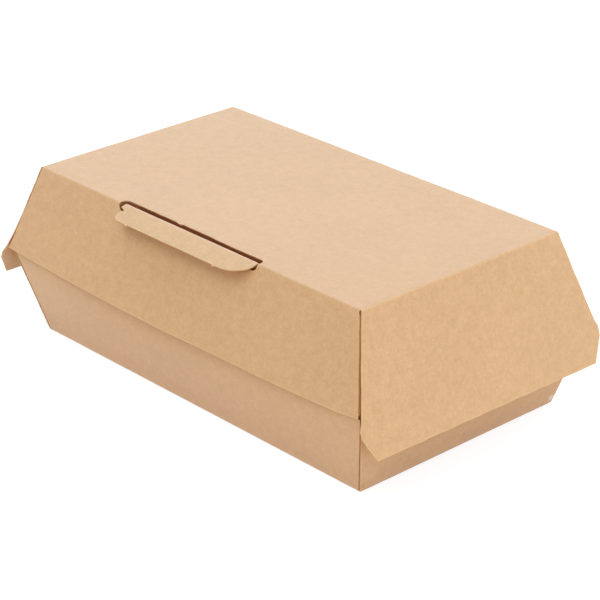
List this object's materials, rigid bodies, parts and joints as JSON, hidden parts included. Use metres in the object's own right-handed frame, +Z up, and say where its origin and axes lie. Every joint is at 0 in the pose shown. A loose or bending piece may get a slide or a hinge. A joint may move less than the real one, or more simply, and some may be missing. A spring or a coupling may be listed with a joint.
{
  "type": "takeaway box",
  "caption": "Clamshell carton folded from kraft board: waisted tray with leaning walls, hinged lid with end flaps, and a lock tab through a slot in the lid's front crease.",
  "frame": {"origin": "middle of the base's underside, on the surface that the box stands on", "axes": "+X along the box to the right, +Y from the front with the lock tab to the hinge at the back, +Z up"},
  "size_m": [0.2357, 0.1334, 0.077],
  "materials": {
    "tray_board": "uncoated brown kraft board, matt, with fine fibres",
    "lid_board": "uncoated brown kraft board, matt, with fine fibres"
  },
  "bodies": {
    "tray": {"tray": "tray_board", "lock_tab": "tray_board"},
    "lid": {"lid": "lid_board"}
  },
  "joints": [
    {"name": "lid_hinge", "type": "hinge", "parent": "tray", "child": "lid", "pos_m": [0, 0.0652, 0.0385], "axis": [-1, 0, 0], "range_deg": [0, 180], "deforming": ["lock_tab"]}
  ]
}
